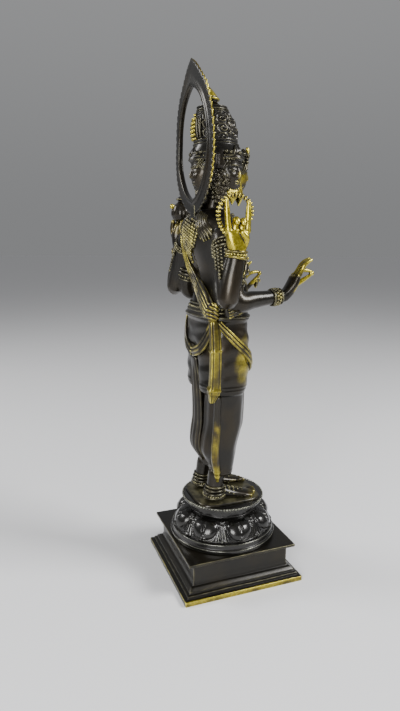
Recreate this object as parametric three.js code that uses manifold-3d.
// A standing four headed, four armed figure of Brahma in cast bronze, with a pointed halo,
// a round lotus pedestal and a square moulded plinth.
// Millimetres. +Z is up, the figure faces -Y, and its right side is -X.
// The origin is the centre of the plinth's underside.
import * as THREE from 'three';
import { ParametricGeometry } from 'three/addons/geometries/ParametricGeometry.js';
import { mergeVertices } from 'three/addons/utils/BufferGeometryUtils.js';
import Module from 'manifold-3d';

const wasm = await Module();
wasm.setup();

// Driving dimensions of the stack, from the ground up.
const PLINTH_SIDE = 96;
const PLINTH_TOP = 29.5;
const SEAT_GAP = 0.3;
const PEDESTAL_BASE = PLINTH_TOP + SEAT_GAP;
const PEDESTAL_TOP = 61.3;
const FOOT_PLATE_BASE = PEDESTAL_TOP + SEAT_GAP;
const FOOT_PLATE_TOP = 63;
const HEM = 84;
const CHIN = 292;
const TOTAL_HEIGHT = 381;

// The plinth's profile: half side and height, from the centre of the underside to the centre on top.
const PLINTH_PROFILE = [
  [0, 0],
  [PLINTH_SIDE / 2, 0],
  [PLINTH_SIDE / 2, 3.8],
  [45.2, 4.2],
  [45.2, 6.2],
  [43.2, 6.6],
  [43.2, 8],
  [41, 9.8],
  [39.3, 10.4],
  [38.6, 13],
  [38.6, 24],
  [39.6, 26.6],
  [43.4, 27.4],
  [43.4, PLINTH_TOP],
  [0, PLINTH_TOP],
];

// The lotus pedestal: radius and height of its turned body under the petals.
const PEDESTAL_PROFILE = [
  [0, PEDESTAL_BASE],
  [41.8, PEDESTAL_BASE],
  [42, 32.6],
  [40.6, 33.2],
  [40.4, 36.6],
  [38, 37.6],
  [36.6, 41],
  [34.4, 45.6],
  [32.4, 49.2],
  [29.6, 51.2],
  [26.4, 51.6],
  [26.2, 56.4],
  [31.8, 58.6],
  [31.8, PEDESTAL_TOP],
  [0, PEDESTAL_TOP],
];
const PETALS = 8;
const PETAL_LOW = 37;
const PETAL_HIGH = 52;
const PETAL_BULGE = 3.4;
const PETAL_SHARE = 1 / 3;
const CREASE_DEPTH = 2;
const VALLEY_DEPTH = 1.4;
const FAN_BULGE = 1.4;
const GROOVE = 0.06;

// The garment over the hips and legs: height, middle in y, half width, half depth.
const GARMENT = [
  [HEM, 6.6, 21.5, 8.8],
  [90, 6.8, 23, 10],
  [104, 9, 25, 14.6],
  [128, 5.4, 26, 15.8],
  [148, 5.2, 27.6, 15.8],
  [150.5, 6.5, 29.4, 17.8],
  [167, 5.6, 30.4, 19.6],
  [187, 5.9, 31, 19.2],
  [202, 6.4, 29.8, 18.4],
  [205, 6.5, 31.2, 19.8],
  [213.4, 6.7, 26.4, 17],
  [226, 7, 21.6, 15.2],
  [236, 7.3, 21, 14.8],
];
const LEG_POWER = 2.7;
const SWAG_THICKNESS = 2;
const CLEFT_TOP = 190;
const CLEFT_DEPTH = 0.42;
const CLEFT_WIDTH = 6.5;
const CLEFT_FADE = 45;

// The trunk from the waist to the neck, in the same four columns.
const TRUNK = [
  [228, 7.1, 20, 14.2],
  [237, 7.4, 21.4, 15],
  [254, 8.9, 28.8, 19.2],
  [262, 9.8, 31.6, 19],
  [268, 11.2, 32.6, 17.6],
  [272.4, 12, 30, 16],
  [279, 11.6, 16, 12.4],
  [281, 11, 11.6, 10],
  [308, 7.5, 11, 11],
];
const TRUNK_POWER = 2.3;
const PLATE_POWER = 4.5;
const CHEST = { height: 257, tall: 8, spread: 12, wide: 9, bulge: 2.4, fade: 8 };

// One of the four heads, from the chin up, about the axis that the heads share: height above
// the chin, middle in y, half width, half depth. It looks towards -Y. The heads at the sides are
// turned forward, and hair fills the space behind them.
const HEAD_AXIS_Y = 7.5;
const HEAD_POWER = 2.2;
const SIDE_TURN = (65 * Math.PI) / 180;
const HEAD = [
  [0, -13.4, 3.6, 3],
  [6, -11.8, 7.6, 8],
  [10, -11, 8.9, 9.9],
  [14, -10.5, 9.8, 10.8],
  [19, -10, 10.3, 11.4],
  [24, -9.6, 10.1, 11.5],
  [28, -8.6, 7.4, 9.4],
];
const HEAD_TURNS = [
  { turn: 0, push: 1.4 },
  { turn: -SIDE_TURN, push: -1.2 },
  { turn: Math.PI, push: -2.6 },
  { turn: SIDE_TURN, push: -1.2 },
];
const FACE = [
  // middle in x, height, breadth, tallness and rise of each feature
  { x: 0, z: 11.6, wide: 1.5, tall: 3, rise: 2.5 },
  { x: 0, z: 9.8, wide: 2.4, tall: 1.3, rise: 0.9 },
  { x: 3.8, z: 15.2, wide: 2.1, tall: 1.7, rise: -1.1 },
  { x: 3.8, z: 18, wide: 3, tall: 1.1, rise: 0.7 },
  { x: 0, z: 6, wide: 3, tall: 1.2, rise: 1 },
  { x: 0, z: 2, wide: 2.8, tall: 1.8, rise: 0.8 },
];

// The crown: height, middle in y, half width, half depth, and how far the four foreheads
// swell its section.
const CROWN = [
  [CHIN + 21, 7, 15.4, 14.9, 0.34],
  [CHIN + 24, 7, 17.4, 16.8, 0.26],
  [CHIN + 32, 8.2, 16.2, 16.2, 0],
  [CHIN + 34, 8.5, 15.2, 15.2, 0],
  [CHIN + 40, 9, 15.8, 15.8, 0],
  [CHIN + 47, 9.8, 14.8, 14.8, 0],
  [CHIN + 52.5, 10.6, 12.4, 12.4, 0],
  [CHIN + 55.4, 11.1, 10.6, 10.6, 0],
  [CHIN + 57.8, 11.6, 10.8, 10.8, 0],
  [CHIN + 58.4, 11.9, 7.8, 7.8, 0],
  [CHIN + 61.6, 12.5, 4.4, 4.4, 0],
  [CHIN + 63.4, 13, 5.6, 5.6, 0],
  [CHIN + 66.4, 13.8, 4.6, 4.6, 0],
  [CHIN + 72, 15.4, 0.8, 0.8, 0],
];
const BROW_WIDTH = 0.5;
const CROWN_LOBES = 8;
const CROWN_LOBE_RISE = 0.05;
const CAP_LOW = CHIN + 33;
const CAP_HIGH = CHIN + 55;

// The halo: outer half width and height, then inner half width and height, from the foot of
// the ring to its tip. The ring stands in a plane that leans back a little.
const HALO = [
  [0, 277.6, 0, 287.6],
  [10, 280, 7, 289.8],
  [20.5, 286.4, 15.5, 295],
  [30, 296, 22.6, 303],
  [35.6, 307, 27.2, 311.6],
  [37.2, 319, 28.8, 321],
  [36, 332, 27.8, 332],
  [32.6, 346, 24.2, 343],
  [26.6, 357, 18, 352],
  [17, 367, 9.4, 358.4],
  [7.4, 375.6, 3.4, 361],
  [0, TOTAL_HEIGHT - 0.8, 0, 361.8],
];
const HALO_Y = 25;
const HALO_LEAN = 0.035;
const HALO_LEAN_FROM = 330;
const HALO_FLAMES = 42;
const FLAME_RISE = 1.7;
const FLAME_FADE = 4;
// Across the band: share of the way from the outer edge to the inner one, and distance from
// the middle plane.
const HALO_SECTION = [
  [0, 0],
  [0.7, -1.1],
  [1, -1.9],
  [1, 1.9],
  [0.7, 1.1],
];
const STEM = { halfWidth: 4.2, thickness: 2.4, bottom: 266, top: 284 };

// How finely the curved pieces are faceted.
const SIDES = {
  pedestal: 48,
  garment: 16,
  trunk: 16,
  head: 12,
  crown: 16,
  plate: 12,
  pot: 8,
  arm: 7,
  palm: 6,
  strip: 4,
  finger: 4,
  bead: 3,
};

// The toes: place of the first one, their pitch, the front of the big toe, how the line of them
// sweeps back, and the half thickness of the big toe and of the others.
const TOE = { first: 8.8, pitch: 2.7, front: -24.4, sweep: 0.4, big: 1.9, small: 1.5 };

// Both rear hands are in one plane. The rosary's loop is an ellipse of beads, behind the palm below.
const REAR_HAND_Y = 16.2;
const ROSARY = {
  beads: 20,
  halfWidth: 12.2,
  halfHeight: 12.4,
  height: 274.6,
  radius: 1.35,
  swell: 0.45,
  behind: 5.4,
};

const WELD = 1e-4;
const NUDGE = 1e-3;
const UP = new THREE.Vector3(0, 0, 1);
const ACROSS = new THREE.Vector3(1, 0, 0);
const ALONG = new THREE.Vector3(0, 1, 0);
const FINGER_SIDE = new THREE.Vector3(0.9, 0.3, 0.2).normalize();

// A smooth value between the rows of a table that never overshoots them. s counts rows.
function smooth(rows, s) {
  const last = rows.length - 1;
  const i = Math.min(Math.floor(s), last - 1);
  const f = s - i;
  return rows[0].map((_, column) => {
    const rise = (k) => rows[k + 1][column] - rows[k][column];
    const slope = (k) => {
      if (k === 0) return rise(0);
      if (k === last) return rise(last - 1);
      const before = rise(k - 1);
      const after = rise(k);
      return before * after > 0 ? (2 * before * after) / (before + after) : 0;
    };
    const a = rows[i][column];
    const b = rows[i + 1][column];
    const ease = f * f * (3 - 2 * f);
    return a + (b - a) * ease + slope(i) * f * (1 - f) * (1 - f) - slope(i + 1) * f * f * (1 - f);
  });
}

const bell = (distance, width) => Math.exp(-((distance / width) ** 2));
const clamp01 = (value) => Math.min(Math.max(value, 0), 1);
const bent = (value, power) => Math.sign(value) * Math.abs(value) ** (2 / power);

// The turn from one direction to another, the short way round.
const turnBetween = (a, b) => Math.atan2(Math.sin(a - b), Math.cos(a - b));

// A closed geometry as a solid with its faces outwards.
function solidOf(geometry) {
  const bare = new THREE.BufferGeometry();
  bare.setAttribute('position', geometry.getAttribute('position'));
  if (geometry.index) bare.setIndex(geometry.index);
  const merged = mergeVertices(bare, WELD);
  const corners = merged.index.array;
  const kept = [];
  for (let i = 0; i < corners.length; i += 3) {
    const [a, b, c] = [corners[i], corners[i + 1], corners[i + 2]];
    if (a !== b && b !== c && c !== a) kept.push(a, b, c);
  }
  const make = (list) => new wasm.Manifold(new wasm.Mesh({
    numProp: 3,
    vertProperties: merged.attributes.position.array,
    triVerts: new Uint32Array(list),
  }));
  const solid = make(kept);
  return solid.volume() < 0 ? make(kept.reverse()) : solid;
}

// A skin over rings that closes on each end ring's middle. ring sets the middle of the ring at
// t from 0 to 1, and the reach from it at an angle.
function skin(ring, around, steps) {
  const middle = new THREE.Vector3();
  const reach = new THREE.Vector3();
  const surface = (u, v, target) => {
    const k = v * (steps + 2) - 1;
    const open = k > -NUDGE && k < steps + NUDGE ? 1 : 0;
    ring(clamp01(k / steps), (u % 1) * 2 * Math.PI, middle, reach);
    target.copy(middle).addScaledVector(reach, open);
  };
  return solidOf(new ParametricGeometry(surface, around, steps + 2));
}

// A skin that closes on itself both ways, such as a ring of beads.
function hoop(ring, around, steps) {
  const middle = new THREE.Vector3();
  const reach = new THREE.Vector3();
  const surface = (u, v, target) => {
    ring(v % 1, (u % 1) * 2 * Math.PI, middle, reach);
    target.copy(middle).add(reach);
  };
  return solidOf(new ParametricGeometry(surface, around, steps));
}

// A column of level sections from rows of height, middle in y, half width and half depth.
// form may change the reach at an angle.
function column(rows, around, power, form) {
  const last = rows.length - 1;
  return skin((t, angle, middle, reach) => {
    const row = rows[Math.round(t * last)];
    middle.set(0, row[1], row[0]);
    reach.set(row[2] * bent(Math.cos(angle), power), row[3] * bent(Math.sin(angle), power), 0);
    if (form) form(reach, row, angle);
  }, around, last);
}

// A limb, strip or cord through rows of x, y, z, half width along side, and half thickness.
function limb(rows, side, around, power = 2) {
  const tangent = new THREE.Vector3();
  const wide = new THREE.Vector3();
  const thick = new THREE.Vector3();
  const last = rows.length - 1;
  return skin((t, angle, middle, reach) => {
    const s = Math.round(t * last);
    const row = rows[s];
    const before = smooth(rows, Math.max(s - NUDGE, 0));
    const after = smooth(rows, Math.min(s + NUDGE, last));
    tangent.set(after[0] - before[0], after[1] - before[1], after[2] - before[2]).normalize();
    wide.copy(side).addScaledVector(tangent, -side.dot(tangent)).normalize();
    thick.crossVectors(tangent, wide);
    middle.set(row[0], row[1], row[2]);
    reach.copy(wide).multiplyScalar(row[3] * bent(Math.cos(angle), power));
    reach.addScaledVector(thick, row[4] * bent(Math.sin(angle), power));
  }, around, last);
}

// A round limb whose rows are x, y, z and radius.
const roundLimb = (rows, side, around) =>
  limb(rows.map(([x, y, z, r]) => [x, y, z, r, r]), side, around);

const joined = (solids) => solids.reduce((whole, piece) => whole.add(piece));
const mirrored = (rows, side) => rows.map(([x, ...rest]) => [x * side, ...rest]);

function meshOf(name, solid, material) {
  const made = solid.getMesh();
  const geometry = new THREE.BufferGeometry();
  const places = new Float32Array(made.numVert * 3);
  for (let i = 0; i < made.numVert; i++) {
    for (let c = 0; c < 3; c++) places[i * 3 + c] = made.vertProperties[i * made.numProp + c];
  }
  geometry.setAttribute('position', new THREE.BufferAttribute(places, 3));
  geometry.setIndex(new THREE.BufferAttribute(made.triVerts, 1));
  geometry.computeVertexNormals();
  const mesh = new THREE.Mesh(geometry, material);
  mesh.name = name;
  return mesh;
}

// The square plinth: its profile turned in four steps, corners on the diagonals.
function plinth() {
  const corner = Math.SQRT2;
  const profile = PLINTH_PROFILE.map(([r, z]) => new THREE.Vector2(r * corner, z));
  const turned = new THREE.LatheGeometry(profile, 4);
  turned.rotateX(Math.PI / 2);
  turned.rotateZ(Math.PI / 4);
  return solidOf(turned);
}

// The lotus pedestal: the turned body, swelled by broad round petals with a crease down the
// middle, and by a narrow fan between two petals. off is the share of a petal's sector that a
// point lies away from its middle.
function pedestal() {
  const rows = PEDESTAL_PROFILE.slice(1, -1).map(([r, z]) => [z, 0, r, r]);
  const sector = (2 * Math.PI) / PETALS;
  const petal = (reach, row, angle) => {
    const rise = clamp01((row[0] - PETAL_LOW) / (PETAL_HIGH - PETAL_LOW));
    const off = Math.abs(((angle + sector / 2) % sector) - sector / 2) / sector;
    const round = Math.sqrt(clamp01(1 - (off / PETAL_SHARE) ** 2));
    const lobes = PETAL_BULGE * round - CREASE_DEPTH * bell(off, GROOVE);
    const between = FAN_BULGE * bell(off - 0.5, GROOVE) - VALLEY_DEPTH * bell(off - PETAL_SHARE, GROOVE);
    reach.multiplyScalar(1 + (Math.sin(Math.PI * rise) * (lobes + between)) / row[2]);
  };
  return column(rows, SIDES.pedestal, 2, petal);
}

// The thin plate that the feet are cast on.
function footPlate() {
  const rows = [
    [FOOT_PLATE_BASE, 0.8, 24.4, 26.2],
    [FOOT_PLATE_TOP, 0.8, 24, 25.8],
  ];
  return column(rows, SIDES.plate, PLATE_POWER);
}

// A bare foot with five toes, its ankle and the three rings above it.
function foot(side) {
  const sole = FOOT_PLATE_TOP - 0.6;
  const body = limb(mirrored([
    [12.6, 20.6, sole + 3.4, 2.6, 2.6],
    [12.7, 18.6, sole + 4.4, 4.6, 4.4],
    [12.8, 10, sole + 5.6, 5.2, 5.6],
    [13.4, -4, sole + 3.2, 5.8, 3.2],
    [14.2, -14, sole + 2.2, 6.6, 2.2],
    [14.4, -17, sole + 1.8, 5.4, 1.8],
  ], side), ACROSS, SIDES.palm);
  const toes = limb([0, 0.5, 1, 1.5, 2, 2.5, 3, 3.5, 4].map((i) => {
    const between = i % 1 ? 1 : 0;
    const size = i < 1 ? TOE.big : TOE.small;
    const front = TOE.front + TOE.sweep * i * i;
    const reach = size * (between ? 1.2 : 2.6);
    return [side * (TOE.first + TOE.pitch * i), front + reach, sole + 1.7, reach, size * (between ? 0.5 : 1)];
  }), ALONG, SIDES.strip);
  const ankle = roundLimb(mirrored([
    [12.8, 12.4, 64, 5.6],
    [12.8, 12.4, 66.8, 8],
    [12.8, 12.4, 68.4, 7],
    [12.8, 12.3, 70, 8.4],
    [12.8, 12.2, 71.8, 7.2],
    [12.8, 12.1, 73.4, 8],
    [12.7, 11.8, 76, 6.2],
    [12.4, 9.4, 90, 7],
  ], side), ACROSS, SIDES.arm);
  return joined([body, ankle, toes]);
}

// The garment: one column from the hem to the waist, pinched between the legs in front and behind.
function garment() {
  const pinch = (reach, row) => {
    const depth = CLEFT_DEPTH * clamp01((CLEFT_TOP - row[0]) / CLEFT_FADE);
    reach.y *= 1 - depth * bell(reach.x, CLEFT_WIDTH);
  };
  return column(GARMENT, SIDES.garment, LEG_POWER, pinch);
}

// The pleats that hang between the legs in front and behind, with the edge of each fold raised.
function pleats(front) {
  const rows = front
    ? [
      [0, -12.6, 204, 4.4, 2.4],
      [0, -13, 180, 6.4, 2.8],
      [0, -12.4, 150, 7.6, 2.6],
      [0, -11.6, 122, 8, 2.4],
      [0, -9.6, 110, 5.6, 1.8],
      [0, -8.6, 104, 1, 0.8],
    ]
    : [
      [0, 24.4, 176, 5, 2],
      [0, 21.8, 150, 7, 2.6],
      [0, 21, 126, 8, 2.8],
      [0, 22.6, 106, 8.4, 3],
      [0, 18, 95, 6.6, 2],
      [0, 16, 91, 1, 0.8],
    ];
  return limb(rows, ACROSS, SIDES.strip, 3);
}

// The trunk: the waist, the chest with its two swells, the shoulders and the neck.
function trunk() {
  const chest = (reach, row) => {
    if (reach.y > 0) return;
    const swell = bell(Math.abs(reach.x) - CHEST.spread, CHEST.wide) * bell(row[0] - CHEST.height, CHEST.tall);
    reach.y -= CHEST.bulge * swell * clamp01(-reach.y / CHEST.fade);
  };
  return column(TRUNK, SIDES.trunk, TRUNK_POWER, chest);
}

// The beaded shield on the back, under the collar.
function backShield() {
  return limb([
    [0, 26.4, 271, 14, 2.2],
    [0, 27.6, 264, 11.6, 2.4],
    [0, 27.4, 254, 6, 2.2],
    [0, 24.2, 243.6, 0.8, 0.8],
  ], ACROSS, SIDES.strip, 2.4);
}

// The sash from the left shoulder, over the back and round the waist to the knot on the right hip.
function shoulderSash() {
  const back = limb([
    [23, 21, 272, 2.2, 1.6],
    [21.5, 25.4, 262, 2.4, 1.8],
    [14, 24.4, 244.6, 2.8, 1.8],
    [0, 22.4, 229.4, 5.4, 2],
    [-18, 23.6, 218, 8, 2.2],
    [-29, 23.6, 211.4, 6, 2.6],
  ], UP, SIDES.strip, 2.4);
  const front = limb([
    [22, 2, 272, 2.2, 1.6],
    [20, -7.6, 262, 2.4, 1.8],
    [7, -9.6, 247, 2.8, 1.8],
    [-14, -7.8, 229, 4.4, 2],
    [-26.6, -3, 216, 5.4, 2.2],
    [-33, 14, 210.2, 4.8, 2.4],
  ], UP, SIDES.strip, 2.4);
  return joined([back, front]);
}

// A place on the garment, at an angle from its side towards the back.
function onGarment(side, degrees, height) {
  const above = GARMENT.findIndex((row) => row[0] > height);
  const [low, high] = [GARMENT[above - 1], GARMENT[above]];
  const share = (height - low[0]) / (high[0] - low[0]);
  const [, y, halfWidth, halfDepth] = low.map((value, i) => value + (high[i] - value) * share);
  const angle = (degrees * Math.PI) / 180;
  const x = halfWidth * bent(Math.cos(angle), LEG_POWER);
  return [side * x, y + halfDepth * bent(Math.sin(angle), LEG_POWER), height];
}

// What hangs at each hip: the swags that loop to the front and to the back, and on the right the
// knot, the long sash with its pointed end, and a lower tail.
function hipDrapery(side) {
  const strip = (rows, across, around, power) => limb(mirrored(rows, side), across, around, power);
  const sash = strip([
    [27.6, 19.6, 206, 3.2, 3],
    [28.4, 18.8, 182, 3.4, 3],
    [27.8, 19, 158, 3.6, 3],
    [27.4, 19.2, 155.4, 4, 3.6],
    [26.4, 19.8, 150, 2.6, 3],
    [25.4, 20.4, 144.4, 0.9, 1.4],
  ], ALONG, SIDES.strip, 3.4);
  const swag = (places) => limb(places.map(([angle, height, halfWidth]) => [
    ...onGarment(side, angle, height),
    halfWidth,
    SWAG_THICKNESS,
  ]), UP, SIDES.strip, 2.4);
  const frontSwag = swag([[28, 204, 2.4], [0, 191, 3.2], [-32, 179, 3.7], [-60, 169, 3.7], [-90, 161, 3]]);
  const backSwag = swag([[36, 203, 2.4], [52, 192, 3.2], [70, 183, 3.6], [90, 178, 3]]);
  if (side > 0) return joined([frontSwag, backSwag]);
  const knot = strip([
    [25.6, 21, 218, 2, 2.4],
    [27.4, 21.4, 214, 5.4, 4.4],
    [28.2, 21, 208.6, 5.4, 4.6],
    [28.6, 20.4, 203, 3.2, 2.6],
  ], ALONG, SIDES.palm);
  const tail = strip([
    [24, 14.6, 150, 2.6, 2.6],
    [23.2, 15.2, 126, 2.8, 2.6],
    [22.4, 16, 102, 2.9, 2.6],
    [20.6, 13.6, 88, 2.2, 2.4],
    [19.4, 12.6, 79.6, 0.9, 1.2],
  ], ALONG, SIDES.strip, 3);
  return joined([sash, knot, tail, frontSwag, backSwag]);
}

// The clasp and the short tassel at the front of the belt.
function clasp() {
  return limb([
    [0, -12.2, 215, 3, 2],
    [0, -13, 208, 8, 3.6],
    [0, -13.4, 201, 5, 3],
    [0, -13.6, 194, 1.2, 1.4],
  ], ACROSS, SIDES.strip);
}

// A finger or thumb through points, tapering from one radius to another.
function finger(points, thick, thin) {
  const rows = points.map((p, i) => [...p, thick + ((thin - thick) * i) / (points.length - 1)]);
  return roundLimb(rows, FINGER_SIDE, SIDES.finger);
}

// Upper arm, armlet, forearm and bracelet of a front arm, then the hand with three fingers
// raised and the thumb closed on the first finger. lift tips the hand back about the wrist.
function frontArm(side, wrist, lift) {
  const elbow = new THREE.Vector3(48, 10.6, 219.6);
  const forearm = (share, radius) => {
    const p = elbow.clone().lerp(wrist, share);
    return [p.x, p.y, p.z, radius];
  };
  const arm = roundLimb(mirrored([
    [30, 10.4, 268, 8.6],
    [36.4, 10, 259, 8.8],
    [40.2, 12, 246, 7.9],
    [42, 13, 239.4, 7.7],
    [42.3, 13.1, 238.4, 8.7],
    [44, 13.6, 232.8, 8.5],
    [44.4, 13.8, 231.8, 7.4],
    [46, 13.8, 226.6, 7.2],
    forearm(0, 7),
    forearm(0.3, 6.1),
    forearm(0.58, 5.2),
    forearm(0.61, 6.4),
    forearm(0.76, 6.5),
    forearm(0.8, 5.2),
    forearm(1, 4.4),
  ], side), ACROSS, SIDES.arm);
  const place = ([x, y, z]) => {
    const p = new THREE.Vector3(x, y, z).applyAxisAngle(ACROSS, lift).add(wrist);
    return [side * p.x, p.y, p.z];
  };
  const palmRows = [
    [0, 1, -1, 4.4, 3.8],
    [0, -4, 3, 5.4, 3.6],
    [0, -7.6, 9, 6.2, 3],
    [0, -9.4, 14.4, 6.2, 2.4],
  ].map(([x, y, z, a, b]) => [...place([x, y, z]), a, b]);
  const palm = limb(palmRows, ACROSS, SIDES.palm, 2.4);
  const raised = [-1.2, 1.8, 4.6].map((x, i) => finger([
    [x, -8.6, 12.4],
    [x + 0.4, -14.4 + i, 21.4 - 0.4 * i],
    [x + 0.4, -21 + i * 1.4, 25.4 - 0.7 * i],
  ].map(place), 1.8, 0.9));
  const first = finger([
    [-4.2, -8.6, 12.6],
    [-4.4, -15.4, 16.6],
    [-4.2, -21, 16.8],
    [-4, -26.4, 15.4],
  ].map(place), 1.9, 1);
  const thumb = finger([
    [-4, -3, 3.6],
    [-5.6, -10, 7.4],
    [-4.2, -24.4, 13.6],
  ].map(place), 2.4, 1.2);
  return joined([arm, palm, ...raised, first, thumb]);
}

// Upper arm, forearm and bracelets of a rear arm. The forearm rises from the elbow and leans
// forward a little on its way to the hand.
function rearArm(side) {
  const y = REAR_HAND_Y;
  return roundLimb([
    [28, 15, 266, 8.4],
    [40, 17.4, 254, 8],
    [51, 20.4, 231, 7],
    [54.4, 21.2, 222.4, 6.8],
    [56, 21.2, 222.6, 6.6],
    [56.4, 20.2, 231, 6.8],
    [56.4, y + 0.6, 248.6, 5.8],
    [56.4, y + 0.4, 249.6, 7.6],
    [56.4, y, 251.6, 6.6],
    [56.4, y, 253.4, 7.6],
    [56.4, y, 255, 5.6],
  ].map(([x, ...rest]) => [side * x, ...rest]), ALONG, SIDES.arm);
}

// The right rear hand, in the places of a hand whose middle is at y = 0: palm outwards, first and
// last fingers raised, the two between folded on the thumb.
function rosaryHand() {
  const palm = limb([
    [-56.6, 0, 253, 5.6, 4.8],
    [-56.8, -0.2, 257, 7, 4.6],
    [-57, -0.6, 262, 8, 4],
    [-57, -0.8, 267, 8.2, 3.2],
  ], ALONG, SIDES.palm, 2.6);
  const fingers = [
    finger([[-57, -7, 263], [-57.6, -7.8, 272], [-57.6, -8.4, 283.6]], 2.7, 1.7),
    finger([[-57, 5.4, 263], [-57.6, 6.4, 272], [-57.6, 7.1, 284.4]], 2.7, 1.7),
    finger([[-57.2, -2.8, 264], [-58.4, -2.8, 271.4], [-61.8, -2.8, 268.6]], 2.5, 1.9),
    finger([[-57.2, 1.8, 264], [-58.4, 1.8, 272], [-61.8, 1.6, 269.2]], 2.5, 1.9),
    finger([[-57, -5.8, 256], [-61.2, -6.2, 261.4], [-61.8, -1, 266]], 2.7, 1.8),
  ];
  return joined([palm, ...fingers]).translate([0, REAR_HAND_Y, 0]);
}

// The string of beads that hangs over the two raised fingers and passes behind the palm.
function rosary() {
  const { beads, halfWidth, halfHeight, height, radius, swell, behind } = ROSARY;
  return hoop((t, angle, middle, reach) => {
    const turn = t * 2 * Math.PI;
    const r = radius + swell * Math.cos(beads * turn);
    const low = clamp01((1 - Math.sin(turn)) / 2);
    const y = REAR_HAND_Y + 1.6 + halfWidth * Math.cos(turn);
    middle.set(-57.4 + behind * low * low, y, height + halfHeight * Math.sin(turn));
    reach.set(Math.sin(angle), Math.cos(angle) * Math.cos(turn), Math.cos(angle) * Math.sin(turn));
    reach.multiplyScalar(r);
  }, SIDES.bead, 2 * beads);
}

// The left rear hand, closed round the foot of the water pot, and the pot with its side knob, in
// the places of a hand whose middle is at y = 0.
function potHand() {
  const palm = limb([
    [56.4, 0, 253, 5.6, 4.8],
    [56.6, -0.2, 258, 7, 4.6],
    [56.8, -0.8, 264, 7.8, 4.2],
    [56.4, -1.6, 275, 5.4, 4],
  ], ALONG, SIDES.palm, 2.6);
  const grip = limb([-8.4, -6.6, -4.6, -2.6, -0.6, 1.4, 3.4, 5.4, 7].map((y, i) => {
    const between = i % 2 === 0;
    return [62, y - 0.8, 269.6, between ? 6.4 : 8.6, between ? 1.4 : 3.4];
  }), UP, SIDES.finger);
  const thumb = finger([[53.6, 2.4, 258], [49.4, 2, 266], [50, 0.2, 276]], 2.8, 1.8);
  const pot = column([
    [274.6, -1.4, 3.4, 3.4],
    [277.6, -1.4, 7.4, 7.4],
    [282, -1.4, 9, 9],
    [287, -1.4, 8, 8],
    [290.6, -1.4, 3.4, 3.4],
    [292.4, -1.4, 4.8, 4.8],
    [294.8, -1.4, 1.6, 1.6],
  ], SIDES.pot, 2).translate([56.4, 0, 0]);
  const knob = finger([[56.4, 4, 285.4], [56.4, 8.6, 287.4]], 2.2, 2.6);
  return joined([palm, grip, thumb, pot, knob]).translate([0, REAR_HAND_Y, 0]);
}

// One head with its features and its pointed beard.
function head({ turn, push }) {
  const features = (reach, row) => {
    if (reach.y >= 0) return;
    const front = clamp01(-reach.y / row[3]);
    const rise = FACE.reduce((sum, f) => {
      const off = f.x ? Math.abs(reach.x) - f.x : reach.x;
      return sum + f.rise * bell(off, f.wide) * bell(row[0] - f.z, f.tall);
    }, 0);
    reach.y -= rise * front;
  };
  const skull = column(HEAD.map(([z, y, a, b]) => [z, y - push, a, b]), SIDES.head, HEAD_POWER, features);
  const beard = limb([
    [0, -15 - push, 6.4, 5.6, 4.4],
    [0, -15.6 - push, 1, 5.8, 3.8],
    [0, -14.8 - push, -6.4, 1.2, 1.2],
  ], ACROSS, SIDES.strip);
  const ears = [-1, 1].map((side) => roundLimb(mirrored([
    [10.2, -10, 17, 1.8],
    [11.4, -11, 8, 2.6],
    [11, -11, 3, 1.2],
  ], side), UP.clone().addScaledVector(ACROSS, side).normalize(), SIDES.bead));
  return joined([skull, beard, ...ears])
    .rotate([0, 0, (turn * 180) / Math.PI])
    .translate([0, HEAD_AXIS_Y, CHIN]);
}

// The crown: a band swelled by the four foreheads, a tall lobed cap, a stepped neck and a bud.
function crown() {
  const lobes = (reach, row, angle) => {
    const brows = HEAD_TURNS.map(({ turn }) => bell(turnBetween(angle, turn - Math.PI / 2), BROW_WIDTH));
    const faces = row[4] * Math.max(...brows);
    const cap = row[0] > CAP_LOW && row[0] < CAP_HIGH ? 1 : 0;
    reach.multiplyScalar(1 + faces + cap * CROWN_LOBE_RISE * Math.cos(CROWN_LOBES * angle));
  };
  return column(CROWN, SIDES.crown, 2, lobes);
}

// A pointed leaf plate that stands on the brow band over each face, and the horn over the front one.
function crest({ turn, push }) {
  const leaf = limb([
    [0, -20.6 - push, 23, 4.6, 1.6],
    [0, -21 - push, 27, 5.4, 1.8],
    [0, -18.6 - push, 33.6, 0.9, 0.9],
  ], ACROSS, SIDES.finger);
  const horn = roundLimb([
    [0, -20.6 - push, 24, 2.6],
    [0, -22.9 - push, 29, 1.7],
    [0, -22.2 - push, 32.6, 1.7],
  ], ACROSS, SIDES.finger);
  const whole = turn === 0 ? joined([leaf, horn]) : leaf;
  return whole.rotate([0, 0, (turn * 180) / Math.PI]).translate([0, HEAD_AXIS_Y, CHIN]);
}

// The curled hair behind each side head, and the locks that fall behind each shoulder.
function hair(side) {
  const curls = roundLimb(mirrored([
    [13.4, 11, 289, 2.6],
    [14, 11.4, 295, 6],
    [13.6, 11, 304, 6.6],
    [12.4, 10.6, 314, 5],
  ], side), ACROSS, SIDES.palm);
  const lock = roundLimb(mirrored([
    [9, 16, 285, 3],
    [18, 20.4, 276, 3.2],
    [26, 22.4, 263, 1.2],
  ], side), UP, SIDES.finger);
  return joined([curls, lock]);
}

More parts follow.
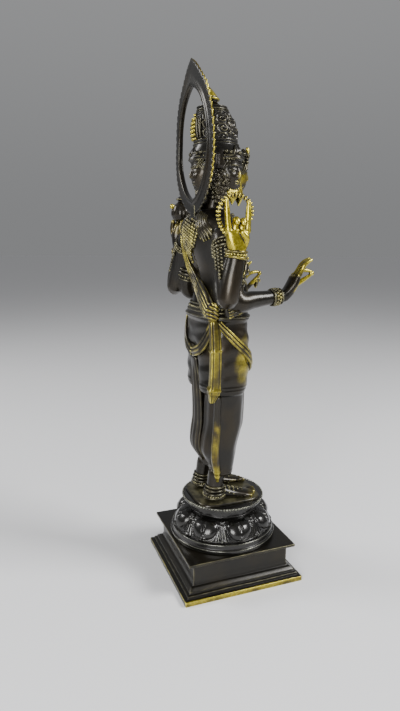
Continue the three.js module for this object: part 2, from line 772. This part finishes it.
// The halo: a band between two closed outlines, with a raised inner rim and an edge of flames.
function haloRing() {
  const last = HALO.length - 1;
  const steps = 2 * HALO_FLAMES;
  const sides = HALO_SECTION.length;
  return hoop((t, angle, middle, reach) => {
    const side = t < 0.5 ? 1 : -1;
    const s = last * (t < 0.5 ? 2 * t : 2 - 2 * t);
    const row = smooth(HALO, clamp01(s / last) * last);
    const [outX, outZ, inX, inZ] = row;
    const fade = clamp01((FLAME_FADE * s) / last) * clamp01(FLAME_FADE * (1 - s / last));
    const flame = Math.round(t * steps) % 2 ? FLAME_RISE * fade : 0;
    const dx = outX - inX;
    const dz = outZ - inZ;
    const width = Math.hypot(dx, dz);
    const [share, off] = HALO_SECTION[Math.round((angle / (2 * Math.PI)) * sides) % sides];
    const out = (1 - share) * width + (share < 0.5 ? flame * (1 - share) : 0);
    middle.set(side * inX, HALO_Y + off, inZ);
    reach.set((side * dx * out) / width, 0, (dz * out) / width);
    reach.y = HALO_LEAN * Math.max(inZ + reach.z - HALO_LEAN_FROM, 0);
  }, sides, steps);
}

// The halo's stem, which drops from the foot of the ring into the nape.
function haloStem(grow) {
  const { halfWidth, thickness, bottom, top } = STEM;
  const block = new THREE.BoxGeometry(2 * (halfWidth + grow), thickness + 2 * grow, top - bottom + grow);
  block.translate(0, HALO_Y, (top + bottom - grow) / 2);
  return solidOf(block);
}

function figure() {
  const parts = [
    garment(), trunk(), footPlate(), pleats(true), pleats(false), clasp(),
    backShield(), shoulderSash(),
    frontArm(-1, new THREE.Vector3(45, -24, 222.4), 0),
    frontArm(1, new THREE.Vector3(40, -25.6, 213.6), -0.22),
    rearArm(-1), rearArm(1), rosaryHand(), rosary(), potHand(), crown(),
    ...HEAD_TURNS.map(head), ...HEAD_TURNS.map(crest),
    ...[-1, 1].flatMap((side) => [foot(side), hipDrapery(side), hair(side)]),
  ];
  return joined(parts).subtract(haloStem(SEAT_GAP));
}

const bronze = (color, roughness) => new THREE.MeshStandardMaterial({ color, roughness, metalness: 0.9 });

const group = new THREE.Group();
group.add(meshOf('plinth', plinth(), bronze(0x1c1610, 0.45)));
group.add(meshOf('lotus_pedestal', pedestal(), bronze(0x1a1712, 0.35)));
group.add(meshOf('figure', figure(), bronze(0x2a2115, 0.4)));
group.add(meshOf('halo', haloRing().add(haloStem(0)), bronze(0x2b2214, 0.4)));

export default group;
